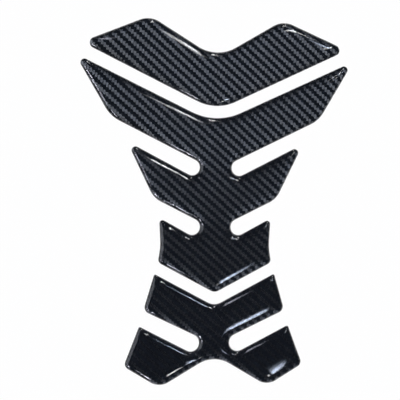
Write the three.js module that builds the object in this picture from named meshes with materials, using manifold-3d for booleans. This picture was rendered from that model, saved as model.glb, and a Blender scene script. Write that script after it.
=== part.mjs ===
// Motorcycle tank pad: a set of three gel-domed stickers that lie one below the other on a fuel tank.
// The top one is a chevron, the middle one a spine with wings and two pairs of raked ribs, and the
// lowest one a tail with one pair of ribs and two splayed feet. Each sticker is a die-cut film with
// an adhesive back, a carbon-look print on the film and a clear cast resin dome on the print.
// Millimetres, +Z up off the tank, +Y towards the handlebar, origin below the middle of the set.

import * as THREE from 'three';
import { mergeGeometries, mergeVertices } from 'three/addons/utils/BufferGeometryUtils.js';
import Module from 'manifold-3d';

// Layers, from the tank upwards
const filmThickness = 0.3;
const inkThickness = 0.05;
const gelHeight = 2.0;
const gelEdgeStep = 0.12;

// Surface tension sets how far the resin's rounded edge reaches in from its rim
const gelCapillaryLength = 1.8;
const gelCrownSlope = 9;
const gelEdgeRings = 6;
const gelNeckRoom = 0.96;

// Carbon-look print: a two-over, two-under twill of flat tows, shown as grey bands in black ink
const towWidth = 1.37;
const towHeight = 1.175;
const towsPerRepeat = 4;
const greyShare = 0.5;
const printRim = 1.1;

// Top chevron: depth along the middle, rake of its arms' lower edge in degrees, corner places
const chevronDepth = 26.6;
const chevronRake = 25.6;
const chevronShoulderX = 34.4;
const chevronShoulderRise = 20.6;
const chevronTipX = 68.7;
const chevronNotchRadius = 18.8;
const chevronShoulderRadius = 11.3;
const chevronTipRadius = 2.8;
const chevronHeelRadius = 22.9;

// Spine: wings, upper ribs and lower ribs, with a slot between each pair and the next
const spineGap = 6.8;
const wingDepth = 23.6;
const wingTopRake = 25.2;
const wingLowerRake = 26.3;
const wingTipX = 72.2;
const wingHeelX = 54.0;
const wingNotchRadius = 29.4;
const wingTipRadius = 2.0;
const wingHeelRadius = 16.3;
const upperSlot = 9.4;
const upperSlotRootX = 8.2;
const upperRibDepth = 20.7;
const upperRibTopRake = 27.3;
const upperRibLowerRake = 26.6;
const upperRibTipX = 45.6;
const upperRibHeelX = 31.7;
const upperRibTipRadius = 2.0;
const upperRibHeelRadius = 11.7;
const lowerSlot = 9.9;
const lowerSlotRootX = 7.9;
const lowerRibDepth = 22.3;
const lowerRibTopRake = 28.6;
const lowerRibLowerRake = 27.9;
const lowerRibTipX = 28.8;
const lowerRibWaistX = 28.0;
const lowerRibWaistPlace = 0.65;
const lowerRibHeelX = 29.3;
const lowerRibTipRadius = 1.6;
const lowerRibWaistRadius = 28;
const lowerRibHeelRadius = 2.7;
const spineEndRadius = 4.4;

// Tail: ribs above, feet below, a slot between them and an arch between the feet
const tailGap = 6.8;
const tailDepth = 19.5;
const tailTopRake = 27.9;
const tailLowerRake = 25.4;
const tailTipX = 31.0;
const tailHeelX = 36.5;
const tailNotchRadius = 7.0;
const tailTipRadius = 0.8;
const tailHeelRadius = 3.5;
const tailSlot = 10.3;
const tailSlotRootX = 7.75;
const footTopRake = 27.1;
const footTipX = 38.5;
const footOuterX = 46.2;
const footOuterDrop = 20.0;
const footSoleX = 27.9;
const footSoleDrop = 11.0;
const footTipRadius = 0.8;
const footOuterRadius = 3.0;
const footSoleRadius = 9.0;
const archRise = 16.5;
const archRadius = 15.4;

// How closely round stretches are followed, and what keeps neighbouring fillets apart
const chordError = 0.03;
const filletRoom = 0.98;
const leastRadius = 0.2;

const wasm = await Module();
wasm.setup();

const rise = (x, degrees) => x * Math.tan(THREE.MathUtils.degToRad(degrees));

// Right-hand halves of the outlines, from the top corner on the middle line to the bottom one.
// A corner is { x, y, r }, and y0 is where the middle line enters the sticker.

function chevronHalf(y0) {
  const heelY = y0 - chevronDepth;
  return [
    { x: 0, y: y0, r: chevronNotchRadius },
    { x: chevronShoulderX, y: y0 + chevronShoulderRise, r: chevronShoulderRadius },
    { x: chevronTipX, y: heelY + rise(chevronTipX, chevronRake), r: chevronTipRadius },
    { x: 0, y: heelY, r: chevronHeelRadius },
  ];
}

// A slot's two root corners ask for more radius than it has room for, so they meet in one full round.
function slotRoot(x, upperY, width, upperRake, lowerRake) {
  return [
    { x, y: upperY + rise(x, upperRake), r: width },
    { x, y: upperY - width + rise(x, lowerRake), r: width },
  ];
}

function spineHalf(y0) {
  const wingY = y0 - wingDepth;
  const upperRibY = wingY - upperSlot;
  const upperRibEndY = upperRibY - upperRibDepth;
  const lowerRibY = upperRibEndY - lowerSlot;
  const endY = lowerRibY - lowerRibDepth;
  const lowerTipY = lowerRibY + rise(lowerRibTipX, lowerRibTopRake);
  const lowerHeelY = endY + rise(lowerRibHeelX, lowerRibLowerRake);
  const waistY = THREE.MathUtils.lerp(lowerTipY, lowerHeelY, lowerRibWaistPlace);
  return [
    { x: 0, y: y0, r: wingNotchRadius },
    { x: wingTipX, y: y0 + rise(wingTipX, wingTopRake), r: wingTipRadius },
    { x: wingHeelX, y: wingY + rise(wingHeelX, wingLowerRake), r: wingHeelRadius },
    ...slotRoot(upperSlotRootX, wingY, upperSlot, wingLowerRake, upperRibTopRake),
    { x: upperRibTipX, y: upperRibY + rise(upperRibTipX, upperRibTopRake), r: upperRibTipRadius },
    { x: upperRibHeelX, y: upperRibEndY + rise(upperRibHeelX, upperRibLowerRake), r: upperRibHeelRadius },
    ...slotRoot(lowerSlotRootX, upperRibEndY, lowerSlot, upperRibLowerRake, lowerRibTopRake),
    { x: lowerRibTipX, y: lowerTipY, r: lowerRibTipRadius },
    { x: lowerRibWaistX, y: waistY, r: lowerRibWaistRadius },
    { x: lowerRibHeelX, y: lowerHeelY, r: lowerRibHeelRadius },
    { x: 0, y: endY, r: spineEndRadius },
  ];
}

function tailHalf(y0) {
  const ribEndY = y0 - tailDepth;
  const footY = ribEndY - tailSlot;
  const footTipY = footY + rise(footTipX, footTopRake);
  const footOuterY = footTipY - footOuterDrop;
  const soleY = footOuterY - footSoleDrop;
  return [
    { x: 0, y: y0, r: tailNotchRadius },
    { x: tailTipX, y: y0 + rise(tailTipX, tailTopRake), r: tailTipRadius },
    { x: tailHeelX, y: ribEndY + rise(tailHeelX, tailLowerRake), r: tailHeelRadius },
    ...slotRoot(tailSlotRootX, ribEndY, tailSlot, tailLowerRake, footTopRake),
    { x: footTipX, y: footTipY, r: footTipRadius },
    { x: footOuterX, y: footOuterY, r: footOuterRadius },
    { x: footSoleX, y: soleY, r: footSoleRadius },
    { x: 0, y: soleY + archRise, r: archRadius },
  ];
}

// Whole outline, anticlockwise: the left side is the right side mirrored.
function mirrored(half) {
  const right = half.slice(1, -1);
  const left = right.map(({ x, y, r }) => ({ x: -x, y, r }));
  return [half[0], ...left, half[half.length - 1], ...right.reverse()];
}

// Adds to each corner its inward normals, its turn and the radius that its two edges leave room for.
function readyCorners(corners) {
  const count = corners.length;
  const ready = corners.map(({ x, y, r }, i) => {
    const point = new THREE.Vector2(x, y);
    const before = corners[(i + count - 1) % count];
    const after = corners[(i + 1) % count];
    const arriving = new THREE.Vector2(x - before.x, y - before.y);
    const leaving = new THREE.Vector2(after.x - x, after.y - y);
    const edge = leaving.length();
    arriving.normalize();
    leaving.normalize();
    const turn = Math.atan2(arriving.cross(leaving), arriving.dot(leaving));
    const normalIn = new THREE.Vector2(-arriving.y, arriving.x);
    const normalOut = new THREE.Vector2(-leaving.y, leaving.x);
    const mitre = normalIn.clone().add(normalOut).divideScalar(1 + normalIn.dot(normalOut));
    return { point, edge, turn, normalIn, mitre, r, tangent: r * Math.tan(Math.abs(turn) / 2) };
  });
  ready.forEach((corner, i) => {
    const before = ready[(i + count - 1) % count];
    const after = ready[(i + 1) % count];
    const room = Math.min(
      before.edge / (before.tangent + corner.tangent),
      corner.edge / (corner.tangent + after.tangent),
    );
    corner.radius = corner.r * Math.min(1, room * filletRoom);
    corner.arcSteps = Math.ceil(Math.abs(corner.turn) / Math.sqrt(8 * chordError / corner.radius));
  });
  return ready;
}

// Outline moved inwards by inset. Every inset of one outline has the same number of points, so
// that the rings can be lofted point to point.
function roundedOutline(ready, inset = 0) {
  const points = [];
  for (const { point, turn, normalIn, mitre, radius, arcSteps } of ready) {
    const side = Math.sign(turn);
    const arcRadius = Math.max(radius - side * inset, leastRadius);
    const centre = point.clone().addScaledVector(mitre, inset + side * arcRadius);
    for (let step = 0; step <= arcSteps; step++) {
      const spoke = normalIn.clone().rotateAround(new THREE.Vector2(), turn * step / arcSteps);
      points.push(centre.clone().addScaledVector(spoke, -side * arcRadius));
    }
  }
  return points;
}

// Flat layer of an outline, with its underside at z
function plate(points, thickness, z) {
  const geometry = new THREE.ExtrudeGeometry(new THREE.Shape(points), {
    depth: thickness,
    bevelEnabled: false,
  });
  return geometry.translate(0, 0, z);
}

// Solid for a cut, from a closed geometry
function solid(geometry) {
  const bare = geometry.clone();
  bare.deleteAttribute('normal');
  bare.deleteAttribute('uv');
  const welded = mergeVertices(bare);
  return new wasm.Manifold(new wasm.Mesh({
    numProp: 3,
    vertProperties: welded.attributes.position.array,
    triVerts: new Uint32Array(welded.index.array),
  }));
}

// Geometry of a cut solid
function surface(body) {
  const mesh = body.getMesh();
  const geometry = new THREE.BufferGeometry();
  geometry.setAttribute('position', new THREE.BufferAttribute(mesh.vertProperties, 3));
  geometry.setIndex(new THREE.BufferAttribute(mesh.triVerts, 1));
  geometry.computeVertexNormals();
  return geometry;
}

// Diagonal bars that cut the twill's grey bands through a layer between two heights. The bands
// fall to the right at the slope of one tow's height to its width.
function twillBars(reach, low, high) {
  const slant = Math.atan2(towHeight, towWidth);
  const pitch = towsPerRepeat * towHeight * Math.cos(slant);
  const barsEachSide = Math.ceil(reach / pitch);
  const bars = [];
  for (let i = -barsEachSide; i <= barsEachSide; i++) {
    const bar = new THREE.BoxGeometry(2 * reach, pitch * greyShare, high - low);
    bar.translate(0, i * pitch, (low + high) / 2);
    bar.rotateZ(-slant);
    bars.push(bar);
  }
  return mergeGeometries(bars);
}

// Black ink on the film: a rim all round, and stripes with the grey film showing between them.
function printLayer(ready) {
  const sheet = plate(roundedOutline(ready), inkThickness, filmThickness);
  const reach = Math.max(...ready.map(({ point }) => point.length()));
  const below = filmThickness - inkThickness;
  const above = filmThickness + 2 * inkThickness;
  const field = plate(roundedOutline(ready, printRim), above - below, below);
  const windows = solid(twillBars(reach, below, above)).intersect(solid(field));
  return surface(solid(sheet).subtract(windows));
}

// Edge profile of the resin, as rings of inset from its rim and height over the print. It is the
// meniscus that surface tension gives a wide drop, cut off where it is nearly flat.
function gelRings() {
  const crownSlope = THREE.MathUtils.degToRad(gelCrownSlope);
  const meniscusHeight = gelHeight + 2 * gelCapillaryLength * Math.sin(crownSlope / 2);
  const rimSlope = 2 * Math.asin(Math.min(1, meniscusHeight / (2 * gelCapillaryLength)));
  const along = (slope) => Math.log(Math.tan(slope / 4)) + 2 * Math.cos(slope / 2);
  const rings = [];
  for (let i = 0; i <= gelEdgeRings; i++) {
    const slope = THREE.MathUtils.lerp(rimSlope, crownSlope, i / gelEdgeRings);
    const rimHeight = meniscusHeight - 2 * gelCapillaryLength * Math.sin(rimSlope / 2);
    rings.push({
      inset: gelCapillaryLength * (along(rimSlope) - along(slope)),
      height: meniscusHeight - 2 * gelCapillaryLength * Math.sin(slope / 2) - rimHeight,
    });
  }
  return rings;
}

// Share of a full inset that the outline's narrowest neck has room for
function neckShare(ready, fullInset) {
  const rim = roundedOutline(ready).map(({ x, y }) => new THREE.Vector3(x, y, 0));
  const edges = rim.map((start, i) => new THREE.Line3(start, rim[(i + 1) % rim.length]));
  const nearest = new THREE.Vector3();
  const isClear = (inset) => roundedOutline(ready, inset).every(({ x, y }) => {
    const point = new THREE.Vector3(x, y, 0);
    return edges.every((edge) => (
      edge.closestPointToPoint(point, true, nearest).distanceTo(point) > inset * gelNeckRoom
    ));
  });
  let share = 1;
  while (!isClear(fullInset * share)) {
    share *= gelNeckRoom;
  }
  return share;
}

// Clear resin cast on the print, lofted from ring to ring up to its flat crown. Its rounded edge
// is drawn in where two edges come close together.
function gelDome(ready) {
  const base = filmThickness + inkThickness;
  const profile = gelRings();
  const share = neckShare(ready, gelEdgeStep + profile.at(-1).inset);
  const rings = profile.map(({ inset, height }) => ({
    points: roundedOutline(ready, gelEdgeStep + inset * share),
    z: base + height,
  }));
  const count = rings[0].points.length;
  const positions = rings.flatMap(({ points, z }) => points.flatMap(({ x, y }) => [x, y, z]));
  const index = [];
  for (let ring = 0; ring < rings.length - 1; ring++) {
    for (let i = 0; i < count; i++) {
      const a = ring * count + i;
      const b = ring * count + (i + 1) % count;
      index.push(a, b, b + count, a, b + count, a + count);
    }
  }
  const top = (rings.length - 1) * count;
  for (const [a, b, c] of THREE.ShapeUtils.triangulateShape(rings.at(-1).points, [])) {
    index.push(top + a, top + b, top + c);
  }
  for (const [a, b, c] of THREE.ShapeUtils.triangulateShape(rings[0].points, [])) {
    index.push(c, b, a);
  }
  const geometry = new THREE.BufferGeometry();
  geometry.setAttribute('position', new THREE.Float32BufferAttribute(positions, 3));
  geometry.setIndex(index);
  geometry.computeVertexNormals();
  return geometry;
}

const filmMaterial = new THREE.MeshStandardMaterial({
  name: 'silver_grey_film',
  color: 0x6c7078,
  roughness: 0.35,
  metalness: 0.8,
});
const inkMaterial = new THREE.MeshStandardMaterial({
  name: 'black_ink',
  color: 0x12141a,
  roughness: 0.4,
  metalness: 0,
});
const gelMaterial = new THREE.MeshStandardMaterial({
  name: 'clear_gel',
  color: 0xf2f4f8,
  roughness: 0.04,
  metalness: 0,
  transparent: true,
  opacity: 0.3,
});

function named(name, geometry, material) {
  const mesh = new THREE.Mesh(geometry, material);
  mesh.name = name;
  return mesh;
}

// One sticker: film, print and dome
function sticker(name, corners) {
  const ready = readyCorners(corners);
  const group = new THREE.Group();
  group.add(named(`${name}_film`, plate(roundedOutline(ready), filmThickness, 0), filmMaterial));
  group.add(named(`${name}_print`, printLayer(ready), inkMaterial));
  group.add(named(`${name}_dome`, gelDome(ready), gelMaterial));
  return group;
}

// The stickers follow each other down the middle line, each by its gap from the one above, and
// the set is centred on the origin.
function tankPad() {
  const spineTopY = -(chevronDepth + spineGap);
  const spineLength = wingDepth + upperSlot + upperRibDepth + lowerSlot + lowerRibDepth;
  const tailTopY = spineTopY - spineLength - tailGap;
  const outlines = {
    chevron: mirrored(chevronHalf(0)),
    spine: mirrored(spineHalf(spineTopY)),
    tail: mirrored(tailHalf(tailTopY)),
  };
  const everyPoint = Object.values(outlines).flatMap((corners) => roundedOutline(readyCorners(corners)));
  const middle = new THREE.Box2().setFromPoints(everyPoint).getCenter(new THREE.Vector2());
  const pad = new THREE.Group();
  pad.name = 'tank_pad';
  for (const [name, corners] of Object.entries(outlines)) {
    pad.add(sticker(name, corners.map(({ x, y, r }) => ({ x, y: y - middle.y, r }))));
  }
  return pad;
}

export default tankPad();
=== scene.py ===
import math

import bmesh
import bpy
import numpy as np
from bpy.props import FloatProperty, FloatVectorProperty, PointerProperty
from mathutils import Euler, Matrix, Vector
from mathutils.geometry import delaunay_2d_cdt
from mathutils.kdtree import KDTree


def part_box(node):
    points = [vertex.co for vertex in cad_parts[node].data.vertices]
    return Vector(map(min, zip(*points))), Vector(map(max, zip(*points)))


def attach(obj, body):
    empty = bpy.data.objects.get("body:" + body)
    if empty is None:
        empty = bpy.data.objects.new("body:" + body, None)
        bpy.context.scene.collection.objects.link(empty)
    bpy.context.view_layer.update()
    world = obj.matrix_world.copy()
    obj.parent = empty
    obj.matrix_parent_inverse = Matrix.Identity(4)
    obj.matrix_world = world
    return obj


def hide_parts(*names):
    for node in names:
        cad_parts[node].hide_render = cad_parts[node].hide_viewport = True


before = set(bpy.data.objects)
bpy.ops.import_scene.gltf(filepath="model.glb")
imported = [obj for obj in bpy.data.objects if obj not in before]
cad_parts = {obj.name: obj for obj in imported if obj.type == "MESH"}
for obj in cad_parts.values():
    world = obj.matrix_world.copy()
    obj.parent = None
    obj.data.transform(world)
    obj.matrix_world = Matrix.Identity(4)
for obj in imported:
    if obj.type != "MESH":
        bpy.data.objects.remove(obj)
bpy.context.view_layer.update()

bl_info = {
    "name": "Motorcycle Tank Pad",
    "version": (1, 0, 0),
    "blender": (4, 5, 0),
    "location": "View3D > Sidebar > Tank Pad",
    "description": "Dresses a set of gel-domed, carbon-look stickers and lights them for a close view",
    "category": "Object",
}

STICKERS = ("chevron", "spine", "tail")
MILLIMETRE = 0.001
# Points closer than this are one point, in metres
WELD = 1e-7
# What counts as nothing in a sum
TINY = 1e-9


def length(title, text, size):
    """A distance in metres that the sidebar shows"""
    return FloatProperty(
        name=title, description=text, default=size, precision=5, subtype="DISTANCE", unit="LENGTH"
    )


def share(title, text, value):
    """A plain number that the sidebar shows"""
    return FloatProperty(name=title, description=text, default=value, precision=3)


def colour(title, text, value):
    """A linear colour that the sidebar shows"""
    return FloatVectorProperty(
        name=title, description=text, default=value, size=3, subtype="COLOR", min=0, max=1
    )


class GelSettings(bpy.types.PropertyGroup):
    """Sizes and finish of the clear gel domes"""
    height: length("Dome Height", "From the print to the level middle of a dome", 0.002)
    capillary: length("Capillary Length", "How far the liquid's edge takes to level out", 0.0018)
    sink: length("Sink", "How far a dome's foot reaches into the print", 0.00002)
    rim_spacing: length("Rim Spacing", "Between points along a dome's edge", 0.0005)
    crown_spacing: length("Crown Spacing", "Between points in a dome's middle", 0.0007)
    tint: colour("Gel Tint", "What the cast resin lets through", (0.97, 0.98, 1.0))
    ripple: length("Ripple", "Height of the shallow waves that the cured resin keeps", 0.0000004)


class TwillSettings(bpy.types.PropertyGroup):
    """Sizes and colours of the woven print"""
    tow_width: length("Tow Width", "Between upright tows", 0.0013794)
    tow_height: length("Tow Height", "Between level tows", 0.00118)
    lean: share("Lean", "Drop of a level tow over its length", 0.016)
    shift_across: share("Shift Across", "Start of the pattern across, in tows", 0.956)
    shift_along: share("Shift Along", "Start of the pattern along, in tows", 0.316)
    tilt: FloatProperty(
        name="Fibre Tilt",
        description="How far the upright tows' fibres lean towards the top of the pad",
        default=math.radians(7.6),
        unit="ROTATION",
    )
    grey: colour("Grey Tow", "Metallised tows that run up the pad", (0.178, 0.185, 0.198))
    black: colour("Black Tow", "Tows that cross them", (0.009, 0.011, 0.014))


class FilmSettings(bpy.types.PropertyGroup):
    """Finish of the vinyl film"""
    vinyl: colour("Vinyl", "The film's cut edge", (0.02, 0.021, 0.026))


class StageSettings(bpy.types.PropertyGroup):
    """Camera, floor and lamps"""
    camera_place: FloatVectorProperty(
        name="Camera Place",
        description="Where the camera stands",
        default=(-0.104608, 0.003404, 0.556835),
        subtype="TRANSLATION",
        unit="LENGTH",
    )
    camera_turn: FloatVectorProperty(
        name="Camera Turn",
        description="How the camera is turned from looking straight down",
        default=(math.radians(-0.3306), math.radians(-9.8446), math.radians(0.5784)),
        subtype="EULER",
        unit="ROTATION",
    )
    focal_length: FloatProperty(
        name="Focal Length", description="Lens, in millimetres", default=100.0, unit="CAMERA"
    )
    floor_width: length("Floor Width", "Side of the square floor", 8.0)


def lowest_outline(node):
    """The outer outline of a node's lowest level, in millimetres, anticlockwise from above"""
    shell = bmesh.new()
    shell.from_mesh(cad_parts[node].data)
    bmesh.ops.remove_doubles(shell, verts=shell.verts, dist=WELD)
    level = min(vert.co.z for vert in shell.verts) + WELD
    flat = {face for face in shell.faces if max(vert.co.z for vert in face.verts) < level}
    following = {}
    for face in flat:
        for loop in face.loops:
            if any(other not in flat for other in loop.edge.link_faces):
                following[loop.link_loop_next.vert] = loop.vert
    loops = []
    while following:
        vert, after = following.popitem()
        points = [vert.co.xy]
        while after in following:
            points.append(after.co.xy)
            after = following.pop(after)
        loops.append(np.array(points) / MILLIMETRE)
    shell.free()
    return max(loops, key=enclosed_area)


def enclosed_area(points):
    """Area inside a closed row of points"""
    after = np.roll(points, -1, 0)
    return 0.5 * float((points[:, 0] * after[:, 1] - points[:, 1] * after[:, 0]).sum())


# Half the turn below which a facet is a straight side, and the widest step along an arc
STRAIGHT_ENOUGH = math.radians(0.6)
ARC_STEP = math.radians(6)


def true_arcs(corners, spacing):
    """An outline's facets turned back into the arcs that they stand for, with a point at each spacing"""
    sides = np.roll(corners, -1, 0) - corners
    runs = np.hypot(*sides.T)
    headings = np.arctan2(sides[:, 1], sides[:, 0])
    turns = (headings - np.roll(headings, 1) + math.pi) % (2 * math.pi) - math.pi
    count = len(corners)
    longest = int(runs.argmax())
    half_arcs = np.zeros(count)
    for step in range(1, count):
        side = (longest + step) % count
        half_arcs[side] = turns[side] - half_arcs[side - 1]
        if abs(half_arcs[side]) < STRAIGHT_ENOUGH:
            half_arcs[side] = 0
    points = []
    for corner, side, run, heading, half in zip(corners, sides, runs, headings, half_arcs):
        pieces = max(1, math.ceil(run / spacing), math.ceil(abs(2 * half) / ARC_STEP))
        for part in np.arange(pieces) / pieces:
            if half == 0:
                points.append(corner + side * part)
            else:
                reach = run / (2 * math.sin(half))
                begin = heading - half
                now = begin + 2 * half * part
                swing = (math.sin(now) - math.sin(begin), math.cos(begin) - math.cos(now))
                points.append(corner + reach * np.array(swing))
    return np.array(points)


def inward(points):
    """Unit directions into a closed anticlockwise outline, one for each point"""
    along = np.roll(points, -1, 0) - np.roll(points, 1, 0)
    along /= np.hypot(*along.T)[:, None]
    return np.column_stack([-along[:, 1], along[:, 0]])


def inside(points, outline):
    """Which points lie inside an outline"""
    found = np.zeros(len(points), bool)
    for start, end in zip(outline, np.roll(outline, -1, 0)):
        crosses = (start[1] > points[:, 1]) != (end[1] > points[:, 1])
        rise = end[1] - start[1] if end[1] != start[1] else 1
        run = (points[:, 1] - start[1]) * (end[0] - start[0]) / rise
        found ^= crosses & (points[:, 0] < start[0] + run)
    return found


def depths(points, outline):
    """How far each point lies from an outline"""
    tree = KDTree(len(outline))
    for number, (x, y) in enumerate(outline):
        tree.insert((x, y, 0), number)
    tree.balance()
    return np.array([tree.find((x, y, 0))[2] for x, y in points])


def crown_grid(outline, spacing):
    """Points in rows over an outline's box, each row half a step from the last"""
    low, high = outline.min(0), outline.max(0)
    rows = np.arange(low[1], high[1], spacing * math.sqrt(0.75))
    columns = np.arange(low[0], high[0], spacing)
    across, up = np.meshgrid(columns, rows)
    across[1::2] += spacing / 2
    return np.column_stack([across.ravel(), up.ravel()])


# Depths of the rings of points inside a dome's edge, in millimetres
RIM_DEPTHS = (0.06, 0.14, 0.25, 0.4, 0.6, 0.85, 1.15, 1.5, 1.95, 2.45, 3.0)
# Least share of a ring's depth at which its points lie from every part of the edge
TRUE_DEPTH = 0.97
# Least distance between a ring's points, in millimetres and as a share of its depth
RING_STEP = 0.3
RING_SHARE = 0.6
# Distance of the middle's grid from the last ring, in steps of the grid
GRID_SHARE = 0.6


def dome_points(outline, fine, spacing):
    """An outline's own points, then the points of rings inside it, then an even grid in its middle"""
    directions = inward(outline)
    groups = [outline]
    for depth in RIM_DEPTHS:
        ring = outline + directions * depth
        ring = ring[inside(ring, outline)]
        ring = ring[depths(ring, fine) > TRUE_DEPTH * depth]
        kept = [ring[0]]
        least = min(RING_STEP, RING_SHARE * depth)
        for point in ring[1:]:
            if math.dist(point, kept[-1]) > least:
                kept.append(point)
        groups.append(np.array(kept))
    grid = crown_grid(outline, spacing)
    grid = grid[inside(grid, outline)]
    groups.append(grid[depths(grid, fine) > RIM_DEPTHS[-1] + GRID_SHARE * spacing])
    return np.vstack(groups)


# The triangulation's setting that keeps only what lies inside the outline
INSIDE_ONLY = 1


def triangulated(points, rim_count):
    """Triangles over the points, inside the outline that the first of them draw"""
    places = [Vector(point) for point in points]
    rim = [list(range(rim_count))]
    places, _, triangles, _, _, _ = delaunay_2d_cdt(places, [], rim, INSIDE_ONLY, TINY)
    used, triangles = np.unique(triangles, return_inverse=True)
    return np.array([tuple(place) for place in places])[used], triangles.reshape(-1, 3)


def gathered(places, amounts, count):
    """Amounts added up at their places"""
    return np.bincount(places, amounts, count)


# The most rounds that the solver runs, and how small its error is when it stops
MOST_ROUNDS = 600
SETTLED = 1e-16


def levelling(points, triangles, rim, capillary):
    """How far a liquid's surface has levelled out at each point: 0 on the rim, towards 1 far from it"""
    count = len(points)
    corners = points[triangles]
    areas = 0.5 * np.abs(np.cross(corners[:, 1] - corners[:, 0], corners[:, 2] - corners[:, 0]))
    mass = gathered(triangles.ravel(), np.repeat(areas / 3, 3), count)
    starts, ends, weights = [], [], []
    for corner in range(3):
        one, other = (corner + 1) % 3, (corner + 2) % 3
        to_one = corners[:, one] - corners[:, corner]
        to_other = corners[:, other] - corners[:, corner]
        starts.append(triangles[:, one])
        ends.append(triangles[:, other])
        weights.append(0.5 * (to_one * to_other).sum(1) / (2 * areas))
    starts, ends = np.concatenate(starts), np.concatenate(ends)
    weights = np.concatenate(weights) * capillary ** 2
    diagonal = mass + gathered(starts, weights, count) + gathered(ends, weights, count)
    free = ~rim

    def pulled(values):
        result = diagonal * values
        result -= gathered(starts, weights * values[ends], count)
        result -= gathered(ends, weights * values[starts], count)
        return result * free

    level = np.zeros(count)
    left = mass * free
    step = left / diagonal
    direction = step.copy()
    size = left @ step
    for _ in range(MOST_ROUNDS):
        pull = pulled(direction)
        pace = size / (direction @ pull)
        level += pace * direction
        left -= pace * pull
        step = left / diagonal
        new_size = left @ step
        if new_size < SETTLED:
            break
        direction = step + direction * (new_size / size)
        size = new_size
    return level


def two_steps(edges, count):
    """Pairs of each point with every point that it reaches over two edges"""
    both = np.vstack([edges, edges[:, ::-1]])
    both = both[np.argsort(both[:, 0], kind="stable")]
    uses = np.bincount(both[:, 0], minlength=count)
    firsts = np.concatenate([[0], np.cumsum(uses)])
    fans = uses[both[:, 1]]
    starts = np.repeat(both[:, 0], fans)
    within = np.arange(fans.sum()) - np.repeat(np.cumsum(fans) - fans, fans)
    ends = both[np.repeat(firsts[both[:, 1]], fans) + within, 1]
    apart = starts != ends
    starts = np.concatenate([both[:, 0], starts[apart]])
    ends = np.concatenate([both[:, 1], ends[apart]])
    return starts, ends


def gradients(points, edges, values):
    """How fast values change at each point, from a quadratic fitted to the points round it"""
    count = len(points)
    starts, ends = two_steps(edges, count)
    across, up = (points[ends] - points[starts]).T
    change = values[ends] - values[starts]
    weight = 1 / (across ** 2 + up ** 2)
    terms = np.array([across, up, across ** 2, across * up, up ** 2])
    size = len(terms)
    squares = np.empty((count, size, size))
    sides = np.empty((count, size, 1))
    for row in range(size):
        sides[:, row, 0] = gathered(starts, weight * terms[row] * change, count)
        for column in range(row, size):
            total = gathered(starts, weight * terms[row] * terms[column], count)
            squares[:, row, column] = squares[:, column, row] = total
    return np.linalg.solve(squares + TINY * np.eye(size), sides)[:, :2, 0]


# The gentlest slope that counts, in radians, and the steps down to it
LEVEL_ENOUGH = 1e-5
MENISCUS_STEPS = 600


def meniscus(height, capillary):
    """The edge of a wide drop: distances in from its foot, and the heights and steepness there"""
    def travel(slope):
        return math.log(math.tan(slope / 4)) + 2 * math.cos(slope / 2)

    foot = 2 * math.asin(height / (2 * capillary))
    slopes = np.geomspace(foot, LEVEL_ENOUGH, MENISCUS_STEPS)
    distances = [capillary * (travel(foot) - travel(slope)) for slope in slopes]
    heights = [height - 2 * capillary * math.sin(slope / 2) for slope in slopes]
    return distances, heights, np.tan(slopes)


def new_piece(name, shell, node, finish):
    """Turns a bmesh into a piece that stands for a CAD node"""
    mesh = bpy.data.meshes.new(name)
    shell.to_mesh(mesh)
    shell.free()
    mesh.materials.append(finish)
    piece = bpy.data.objects.new(name, mesh)
    bpy.context.scene.collection.objects.link(piece)
    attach(piece, "root")
    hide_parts(node)
    return piece


# Spacing of the outline's points that depths are measured from, in millimetres
FINE_SPACING = 0.1


def gel_dome(sticker, gel, finish):
    """A sticker's clear dome, with the level crown and round edge of a liquid held by surface tension"""
    node = f"{sticker}_dome"
    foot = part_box(node)[0].z
    corners = lowest_outline(node)
    outline = true_arcs(corners, gel.rim_spacing / MILLIMETRE)
    fine = true_arcs(corners, FINE_SPACING)
    points = dome_points(outline, fine, gel.crown_spacing / MILLIMETRE)
    points, triangles = triangulated(points, len(outline))
    edges = np.vstack([triangles[:, pair] for pair in ([0, 1], [1, 2], [2, 0])])
    edges, uses = np.unique(np.sort(edges, 1), axis=0, return_counts=True)
    rim = np.zeros(len(points), bool)
    rim[edges[uses == 1].ravel()] = True
    capillary = gel.capillary / MILLIMETRE
    level = levelling(points, triangles, rim, capillary)
    reach = -capillary * np.log(np.clip(1 - level, TINY, 1))
    distances, rises, steepness = meniscus(gel.height / MILLIMETRE, capillary)
    heights = np.interp(reach, distances, rises)
    tilts = gradients(points, edges, reach) * np.interp(reach, distances, steepness)[:, None]
    shell = bmesh.new()
    places = np.column_stack([points, heights]) * MILLIMETRE + (0, 0, foot)
    verts = [shell.verts.new(place) for place in places]
    for triangle in triangles:
        shell.faces.new([verts[corner] for corner in triangle])
    lip = [edge for edge in shell.edges if edge.is_boundary]
    for edge in lip:
        edge.smooth = False
    skirt = bmesh.ops.extrude_edge_only(shell, edges=lip)["geom"]
    foot_verts = [part for part in skirt if isinstance(part, bmesh.types.BMVert)]
    bmesh.ops.translate(shell, verts=foot_verts, vec=(0, 0, -gel.sink))
    bmesh.ops.holes_fill(shell, edges=[edge for edge in shell.edges if edge.is_boundary], sides=0)
    bmesh.ops.recalc_face_normals(shell, faces=shell.faces)
    for face in shell.faces:
        face.smooth = True
    piece = new_piece(f"{sticker}_gel", shell, node, finish)
    set_normals(piece.data, len(triangles), np.column_stack([-tilts, np.ones(len(points))]))


def set_normals(mesh, count, directions):
    """Gives the first faces of a mesh the true directions of the surface at their corners"""
    corners = np.empty(len(mesh.loops), int)
    mesh.loops.foreach_get("vertex_index", corners)
    directions = directions / np.linalg.norm(directions, axis=1)[:, None]
    normals = np.zeros((len(corners), 3))
    normals[:3 * count] = directions[corners[:3 * count]]
    mesh.normals_split_custom_set(normals.tolist())


# Spacing of a printed sheet's points, in millimetres
SHEET_SPACING = 2.0


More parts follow.
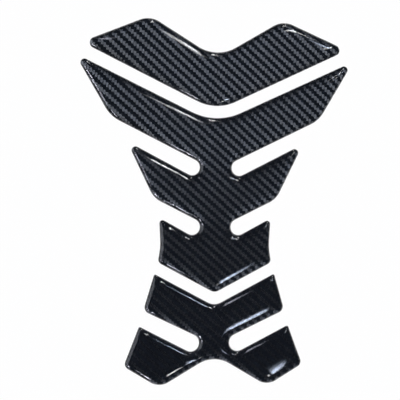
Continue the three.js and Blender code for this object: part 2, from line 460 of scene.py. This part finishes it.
def print_sheet(sticker, finish):
    """A sticker's printed layer: one thin sheet whose finish draws the weave"""
    node = f"{sticker}_print"
    low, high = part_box(node)
    outline = true_arcs(lowest_outline(node), SHEET_SPACING)
    shell = bmesh.new()
    verts = [shell.verts.new((x * MILLIMETRE, y * MILLIMETRE, low.z)) for x, y in outline]
    face = shell.faces.new(verts)
    grown = bmesh.ops.extrude_face_region(shell, geom=[face])["geom"]
    top = [part for part in grown if isinstance(part, bmesh.types.BMVert)]
    bmesh.ops.translate(shell, verts=top, vec=(0, 0, high.z - low.z))
    bmesh.ops.recalc_face_normals(shell, faces=shell.faces)
    layer = shell.loops.layers.uv.new("weave")
    for face in shell.faces:
        for loop in face.loops:
            loop[layer].uv = loop.vert.co.xy / (high.y - low.y)
    new_piece(f"{sticker}_twill", shell, node, finish)


BLACK = (0.0, 0.0, 0.0)
WHITE = (1.0, 1.0, 1.0)
COOL = (0.7, 0.8, 1.0)
LAVENDER = (0.85, 0.85, 1.0)


def opaque(rgb):
    """A colour with full alpha"""
    return (*rgb, 1.0)


class Bench:
    """The nodes of a material, the world or a lamp, with short ways to add and join them"""

    def __init__(self, owner):
        owner.use_nodes = True
        self.owner = owner
        self.tree = owner.node_tree

    def add(self, kind, **settings):
        """A node of a kind, with its settings"""
        node = self.tree.nodes.new(kind)
        for key, value in settings.items():
            setattr(node, key, value)
        return node

    def put(self, socket, value):
        """Joins a socket to a socket, or sets it to a value"""
        if isinstance(value, bpy.types.NodeSocket):
            self.tree.links.new(value, socket)
        else:
            socket.default_value = value

    def filled(self, kind, *values):
        """A node of a kind, with values for its first sockets"""
        node = self.add(kind)
        for socket, value in zip(node.inputs, values):
            self.put(socket, value)
        return node

    def sum(self, operation, *values):
        """A Math node's answer"""
        node = self.filled("ShaderNodeMath", *values)
        node.operation = operation
        return node.outputs[0]

    def blend(self, amount, first, second):
        """A mix of two numbers"""
        node = self.add("ShaderNodeMix", data_type="FLOAT")
        self.put(node.inputs["Factor"], amount)
        self.put(node.inputs["A"], first)
        self.put(node.inputs["B"], second)
        return node.outputs[0]

    def tint(self, amount, first, second):
        """A mix of two colours"""
        node = self.add("ShaderNodeMix", data_type="RGBA")
        self.put(node.inputs["Factor"], amount)
        self.put(node.inputs[6], first)
        self.put(node.inputs[7], second)
        return node.outputs[2]

    def band(self, value, low, high, kind="SMOOTHSTEP"):
        """A rise from 0 at low to 1 at high"""
        node = self.add("ShaderNodeMapRange", interpolation_type=kind)
        self.put(node.inputs["Value"], value)
        self.put(node.inputs["From Min"], low)
        self.put(node.inputs["From Max"], high)
        return node.outputs[0]

    def parts(self, vector):
        """The three parts of a vector"""
        return self.filled("ShaderNodeSeparateXYZ", vector).outputs

    def place(self):
        """The point's place on the object, in metres"""
        return self.add("ShaderNodeTexCoord").outputs["Object"]

    def rays(self):
        """What kind of ray looks at the point, by name"""
        return self.add("ShaderNodeLightPath").outputs

    def noise(self, vector, scale, detail=2.0):
        """Soft random cloud"""
        node = self.add("ShaderNodeTexNoise", noise_dimensions="3D")
        self.put(node.inputs["Vector"], vector)
        self.put(node.inputs["Scale"], scale)
        self.put(node.inputs["Detail"], detail)
        return node.outputs[0]

    def stretched(self, vector, scale):
        """A place with its axes stretched"""
        node = self.add("ShaderNodeMapping")
        self.put(node.inputs["Vector"], vector)
        self.put(node.inputs["Scale"], scale)
        return node.outputs[0]

    def bump(self, height, distance):
        """A normal tilted by a height"""
        node = self.add("ShaderNodeBump")
        self.put(node.inputs["Strength"], 1.0)
        self.put(node.inputs["Distance"], distance)
        self.put(node.inputs["Height"], height)
        return node.outputs[0]

    def principled(self, **settings):
        """The main shader, with its sockets named as words joined by underscores"""
        node = self.add("ShaderNodeBsdfPrincipled")
        for key, value in settings.items():
            self.put(node.inputs[key.replace("_", " ")], value)
        return node

    def mixed(self, amount, first, second):
        """A mix of two shaders"""
        return self.filled("ShaderNodeMixShader", amount, first.outputs[0], second.outputs[0])

    def finish(self, shader, kind="ShaderNodeOutputMaterial"):
        """Joins a shader to an output, and gives back what the nodes belong to"""
        self.filled(kind, shader.outputs[0])
        return self.owner


def empty_bench(owner):
    """The nodes of a new material or world, without those that it starts with"""
    bench = Bench(owner)
    bench.tree.nodes.clear()
    return bench


# Waves in the cured gel, for each metre
GEL_WAVES = 55.0
# How level the gel is where lamps begin to reach the print, and where they reach it in full
LAMPS_BEGIN = 0.52
LAMPS_FULL = 0.88


def gel_finish(gel):
    """Clear cast resin that lets lamps through to the print"""
    bench = empty_bench(bpy.data.materials.new("clear cast resin"))
    waves = bench.noise(bench.place(), GEL_WAVES, 1.0)
    body = bench.principled(
        Base_Color=opaque(gel.tint),
        Roughness=0.04,
        IOR=1.5,
        Transmission_Weight=1.0,
        Normal=bench.bump(waves, gel.ripple),
    )
    upward = bench.parts(bench.add("ShaderNodeNewGeometry").outputs["Normal"])[2]
    level = bench.band(bench.sum("ABSOLUTE", upward), LAMPS_BEGIN, LAMPS_FULL)
    clear = bench.filled("ShaderNodeBsdfTransparent", bench.tint(level, opaque(BLACK), opaque(gel.tint)))
    return bench.finish(bench.mixed(bench.rays()["Is Shadow Ray"], body, clear))


# Tows that one tow passes over, and tows after which the pattern starts again
TOWS_OVER = 2.0
TOWS_REPEAT = 4.0
# Fibres for each metre across a tow, and their changes for each metre along it
FIBRES_ACROSS = 12000.0
FIBRES_ALONG = 500.0
# Darkest shade of a fibre, and how much paler the others are
FIBRE_DARK = 0.85
FIBRE_CHANGE = 0.3
# Where a tow fades out and where it is full, in shares of its width or run from its middle
TOW_EDGE = 0.48
SIDE_FULL = 0.37
END_FULL = 0.43
# How far a tow's fibres turn to its sides, for a round look
TOW_ROUND = 0.06
# What a normal map holds for no lean to a side
NO_LEAN = 0.5


def twill_finish(twill):
    """Two-over, two-under weave: metallised grey tows up the pad, black tows across it"""
    bench = empty_bench(bpy.data.materials.new("twill print"))
    place = bench.place()
    x, y, _ = bench.parts(place)
    column = bench.sum("MULTIPLY_ADD", x, 1 / twill.tow_width, twill.shift_across)
    leaned = bench.sum("MULTIPLY_ADD", x, twill.lean, y)
    row = bench.sum("MULTIPLY_ADD", leaned, 1 / twill.tow_height, twill.shift_along)
    cells = bench.sum("ADD", bench.sum("FLOOR", column), bench.sum("FLOOR", row))
    turn = bench.sum("FLOORED_MODULO", cells, TOWS_REPEAT)
    upright = bench.sum("LESS_THAN", turn, TOWS_OVER - 0.5)
    run = bench.sum("DIVIDE", bench.sum("ADD", turn, bench.sum("FRACT", row)), TOWS_OVER)
    off_middle = bench.sum("SUBTRACT", bench.sum("FRACT", column), 0.5)
    off_centre = bench.sum("SUBTRACT", run, 0.5)
    sides = bench.band(bench.sum("ABSOLUTE", off_middle), TOW_EDGE, SIDE_FULL)
    ends = bench.band(bench.sum("ABSOLUTE", off_centre), TOW_EDGE, END_FULL)
    shown = bench.sum("MULTIPLY", upright, bench.sum("MULTIPLY", sides, ends))

    fibres_up = bench.noise(bench.stretched(place, (FIBRES_ACROSS, FIBRES_ALONG, 1.0)), 1.0)
    fibres_across = bench.noise(bench.stretched(place, (FIBRES_ALONG, FIBRES_ACROSS, 1.0)), 1.0)
    fibres = bench.blend(upright, fibres_across, fibres_up)
    shade = bench.sum("MULTIPLY_ADD", fibres, FIBRE_CHANGE, FIBRE_DARK)
    grey = bench.tint(shade, opaque(BLACK), opaque(twill.grey))

    sideways = bench.sum("MULTIPLY", off_middle, TOW_ROUND)
    lean = bench.filled(
        "ShaderNodeCombineXYZ",
        bench.sum("MULTIPLY_ADD", sideways, upright, NO_LEAN),
        bench.sum("MULTIPLY_ADD", upright, 0.5 * math.sin(twill.tilt), NO_LEAN),
        bench.sum("MULTIPLY_ADD", upright, 0.5 * (math.cos(twill.tilt) - 1), 1.0),
    )
    leaning = bench.add("ShaderNodeNormalMap", space="TANGENT", uv_map="weave")
    bench.put(leaning.inputs["Color"], lean.outputs[0])
    tangent = bench.add("ShaderNodeTangent", direction_type="UV_MAP", uv_map="weave")
    body = bench.principled(
        Base_Color=bench.tint(shown, opaque(twill.black), grey),
        Metallic=upright,
        Roughness=0.255,
        Specular_IOR_Level=0.05,
        Anisotropic=1.0,
        Tangent=tangent.outputs[0],
        Normal=leaning.outputs[0],
    )
    return bench.finish(body)


# Grains for each metre of cut vinyl, their height in metres and their darkest share of its colour
VINYL_GRAIN = 4000.0
VINYL_HEIGHT = 0.00001
VINYL_DARK = 0.6
# Least roughness of cut vinyl, and how much the grain adds
VINYL_ROUGH = 0.4
VINYL_ROUGHER = 0.2


def film_finish(film):
    """Cut edge of the vinyl film"""
    bench = empty_bench(bpy.data.materials.new("cut vinyl"))
    grain = bench.noise(bench.place(), VINYL_GRAIN, 3.0)
    dark = [VINYL_DARK * part for part in film.vinyl]
    body = bench.principled(
        Base_Color=bench.tint(grain, opaque(dark), opaque(film.vinyl)),
        Roughness=bench.sum("MULTIPLY_ADD", grain, VINYL_ROUGHER, VINYL_ROUGH),
        Normal=bench.bump(grain, VINYL_HEIGHT),
    )
    return bench.finish(body)


# Grains for each metre of floor, and the two greys that they mix
FLOOR_GRAIN = 60.0
FLOOR_DARK = (0.84, 0.84, 0.84)
FLOOR_PALE = (0.88, 0.88, 0.88)
# Share of plain white in what the camera and reflections see of the floor
FLOOR_WHITE = 0.94
# How far the floor lies below the stickers' backs, in metres
FLOOR_DROP = 0.00002


def floor_finish():
    """Pale floor that shows white and keeps a soft shadow of the object"""
    bench = empty_bench(bpy.data.materials.new("pale floor"))
    grain = bench.noise(bench.place(), FLOOR_GRAIN, 3.0)
    matt = bench.principled(
        Base_Color=bench.tint(grain, opaque(FLOOR_DARK), opaque(FLOOR_PALE)),
        Roughness=0.9,
        Specular_IOR_Level=0.1,
    )
    white = bench.filled("ShaderNodeEmission", opaque(WHITE), 1.0)
    rays = bench.rays()
    seen = bench.sum("MAXIMUM", rays["Is Camera Ray"], rays["Is Glossy Ray"])
    seen = bench.sum("MAXIMUM", seen, rays["Is Transmission Ray"])
    return bench.finish(bench.mixed(bench.sum("MULTIPLY", seen, FLOOR_WHITE), matt, white))


def studio_floor(stage):
    """A plain square floor just below the stickers' backs"""
    shell = bmesh.new()
    bmesh.ops.create_grid(shell, x_segments=1, y_segments=1, size=stage.floor_width / 2)
    bmesh.ops.translate(shell, verts=shell.verts, vec=(0, 0, -FLOOR_DROP))
    mesh = bpy.data.meshes.new("studio_floor")
    shell.to_mesh(mesh)
    shell.free()
    mesh.materials.append(floor_finish())
    floor = bpy.data.objects.new("studio_floor", mesh)
    bpy.context.scene.collection.objects.link(floor)


# How high the surroundings are at their palest and at their dimmest, and their colours there
LOW_SKY = 0.15
HIGH_SKY = 0.6
LOW_COLOUR = (0.04, 0.045, 0.055)
HIGH_COLOUR = (0.02, 0.026, 0.036)
# What the surroundings are to matt surfaces
MATT_LIGHT = (0.5, 0.5, 0.5)
# A pale wall that reflections show: its colour, the way to its middle, and where it begins and is full
WALL_COLOUR = (1.9, 2.0, 2.2)
WALL_WAY = (-0.906, 0.189, 0.377)
WALL_BEGINS = 0.78
WALL_FULL = 0.97


def studio_world():
    """Soft surroundings: dim overhead and paler towards the horizon, with a pale wall to the left"""
    world = bpy.data.worlds.new("studio")
    bench = empty_bench(world)
    way = bench.add("ShaderNodeTexCoord").outputs["Generated"]
    rays = bench.rays()
    height = bench.band(bench.parts(way)[2], LOW_SKY, HIGH_SKY, "LINEAR")
    sky = bench.tint(height, opaque(LOW_COLOUR), opaque(HIGH_COLOUR))
    light = bench.tint(rays["Is Diffuse Ray"], sky, opaque(MATT_LIGHT))
    toward = bench.filled("ShaderNodeVectorMath", way, WALL_WAY)
    toward.operation = "DOT_PRODUCT"
    wall = bench.band(toward.outputs["Value"], WALL_BEGINS, WALL_FULL)
    mirrored = bench.sum("GREATER_THAN", rays["Is Glossy Ray"], rays["Is Transmission Ray"])
    light = bench.tint(bench.sum("MULTIPLY", wall, mirrored), light, opaque(WALL_COLOUR))
    light = bench.tint(rays["Is Camera Ray"], light, opaque(WHITE))
    bench.finish(bench.filled("ShaderNodeBackground", light), "ShaderNodeOutputWorld")
    world.cycles.sampling_method = "NONE"
    bpy.context.scene.world = world


LAMP_HEIGHT = 2.0
# A panel's watts for each square metre, at a radiance of 1 in its middle
PANEL_WATTS = 4.0
# One over what the two humps of a panel come to in its middle
HUMP_SCALE = 256.0


def softbox(name, slope, reach, turn, radiance, tint):
    """A level panel of light over the pad that is brightest in its middle

    Its place and half size are as seen from the pad, for each metre of height.
    """
    data = bpy.data.lights.new(name, "AREA")
    data.shape = "RECTANGLE"
    data.size, data.size_y = 2 * reach[0] * LAMP_HEIGHT, 2 * reach[1] * LAMP_HEIGHT
    data.energy = PANEL_WATTS * radiance * data.size * data.size_y
    data.color = tint
    bench = Bench(data)
    across, along, _ = bench.parts(bench.add("ShaderNodeNewGeometry").outputs["Parametric"])
    strength = HUMP_SCALE
    for way in (across, along):
        hump = bench.sum("MULTIPLY", way, bench.sum("SUBTRACT", 1.0, way))
        strength = bench.sum("MULTIPLY", strength, bench.sum("MULTIPLY", hump, hump))
    bench.put(bench.tree.nodes["Emission"].inputs["Strength"], strength)
    lamp = bpy.data.objects.new(name, data)
    lamp.location = (slope[0] * LAMP_HEIGHT, slope[1] * LAMP_HEIGHT, LAMP_HEIGHT)
    lamp.rotation_euler.z = math.radians(turn)
    lamp.visible_transmission = False
    bpy.context.scene.collection.objects.link(lamp)


# Each panel's place and half size for each metre of height, its turn in degrees, radiance and tint
SOFTBOXES = {
    "key": ((0.422, 0.572), (0.290, 0.054), 51, 20.0, WHITE),
    "key_low": ((0.495, 0.395), (0.095, 0.080), 13, 20.0, COOL),
    "key_right": ((0.561, 0.431), (0.317, 0.043), 55, 20.0, WHITE),
    "back": ((0.490, 1.718), (0.112, 0.900), -15, 20.0, WHITE),
    "back_left": ((-0.166, 0.625), (0.410, 0.032), 116, 6.8, LAVENDER),
    "front": ((0.335, -0.345), (0.150, 0.048), -67, 20.0, COOL),
    "front_low": ((0.305, -0.490), (0.085, 0.040), -55, 20.0, WHITE),
    "left": ((-1.236, -0.508), (0.618, 0.205), 32, 13.0, LAVENDER),
    "front_left": ((-0.468, -1.463), (0.515, 0.063), -109, 17.0, LAVENDER),
    "low_left": ((-0.973, -1.142), (0.283, 0.606), -23, 17.5, LAVENDER),
}


# Nearest distance that the camera sees, in metres
NEAREST = 0.01


def studio_camera(stage):
    """The camera at the photograph's viewing angle"""
    data = bpy.data.cameras.new("camera")
    data.lens = stage.focal_length
    data.clip_start = NEAREST
    camera = bpy.data.objects.new("camera", data)
    camera.location = stage.camera_place
    camera.rotation_euler = Euler(stage.camera_turn)
    bpy.context.scene.collection.objects.link(camera)
    bpy.context.scene.camera = camera


class PAD_OT_films(bpy.types.Operator):
    """Give the vinyl films their finish"""
    bl_idname = "tank_pad.films"
    bl_label = "Finish Films"

    def execute(self, context):
        finish = film_finish(context.scene.tank_pad_film)
        for sticker in STICKERS:
            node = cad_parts[f"{sticker}_film"]
            for slot in node.material_slots:
                slot.material = finish
        return {"FINISHED"}


class PAD_OT_prints(bpy.types.Operator):
    """Lay the woven print on each film"""
    bl_idname = "tank_pad.prints"
    bl_label = "Lay Prints"

    def execute(self, context):
        finish = twill_finish(context.scene.tank_pad_twill)
        for sticker in STICKERS:
            print_sheet(sticker, finish)
        return {"FINISHED"}


class PAD_OT_domes(bpy.types.Operator):
    """Pour a clear gel dome on each print"""
    bl_idname = "tank_pad.domes"
    bl_label = "Pour Domes"

    def execute(self, context):
        gel = context.scene.tank_pad_gel
        finish = gel_finish(gel)
        for sticker in STICKERS:
            gel_dome(sticker, gel, finish)
        return {"FINISHED"}


class PAD_OT_stage(bpy.types.Operator):
    """Set up the floor, the soft studio light and the camera"""
    bl_idname = "tank_pad.stage"
    bl_label = "Set Stage"

    def execute(self, context):
        stage = context.scene.tank_pad_stage
        studio_floor(stage)
        studio_world()
        for name, light in SOFTBOXES.items():
            softbox(name, *light)
        studio_camera(stage)
        context.scene.view_settings.view_transform = "Standard"
        return {"FINISHED"}


class VIEW3D_PT_tank_pad(bpy.types.Panel):
    """Sidebar panel with the pad's steps and sizes"""
    bl_label = "Tank Pad"
    bl_idname = "VIEW3D_PT_tank_pad"
    bl_space_type = "VIEW_3D"
    bl_region_type = "UI"
    bl_category = "Tank Pad"

    def draw(self, context):
        scene = context.scene
        for operator, settings in STEPS:
            box = self.layout.box()
            box.operator(operator.bl_idname)
            group = getattr(scene, settings)
            for key in group.__annotations__:
                box.prop(group, key)


GROUPS = {
    "tank_pad_film": FilmSettings,
    "tank_pad_twill": TwillSettings,
    "tank_pad_gel": GelSettings,
    "tank_pad_stage": StageSettings,
}
STEPS = (
    (PAD_OT_films, "tank_pad_film"),
    (PAD_OT_prints, "tank_pad_twill"),
    (PAD_OT_domes, "tank_pad_gel"),
    (PAD_OT_stage, "tank_pad_stage"),
)


def register():
    """Makes the settings, the steps and the panel known"""
    for name, group in GROUPS.items():
        bpy.utils.register_class(group)
        setattr(bpy.types.Scene, name, PointerProperty(type=group))
    for operator, _ in STEPS:
        bpy.utils.register_class(operator)
    bpy.utils.register_class(VIEW3D_PT_tank_pad)


def unregister():
    """Takes them away again"""
    bpy.utils.unregister_class(VIEW3D_PT_tank_pad)
    for operator, _ in reversed(STEPS):
        bpy.utils.unregister_class(operator)
    for name, group in reversed(GROUPS.items()):
        delattr(bpy.types.Scene, name)
        bpy.utils.unregister_class(group)


def main():
    """Runs the steps in order"""
    register()
    bpy.ops.tank_pad.films()
    bpy.ops.tank_pad.prints()
    bpy.ops.tank_pad.domes()
    bpy.ops.tank_pad.stage()


if __name__ == "__main__":
    main()
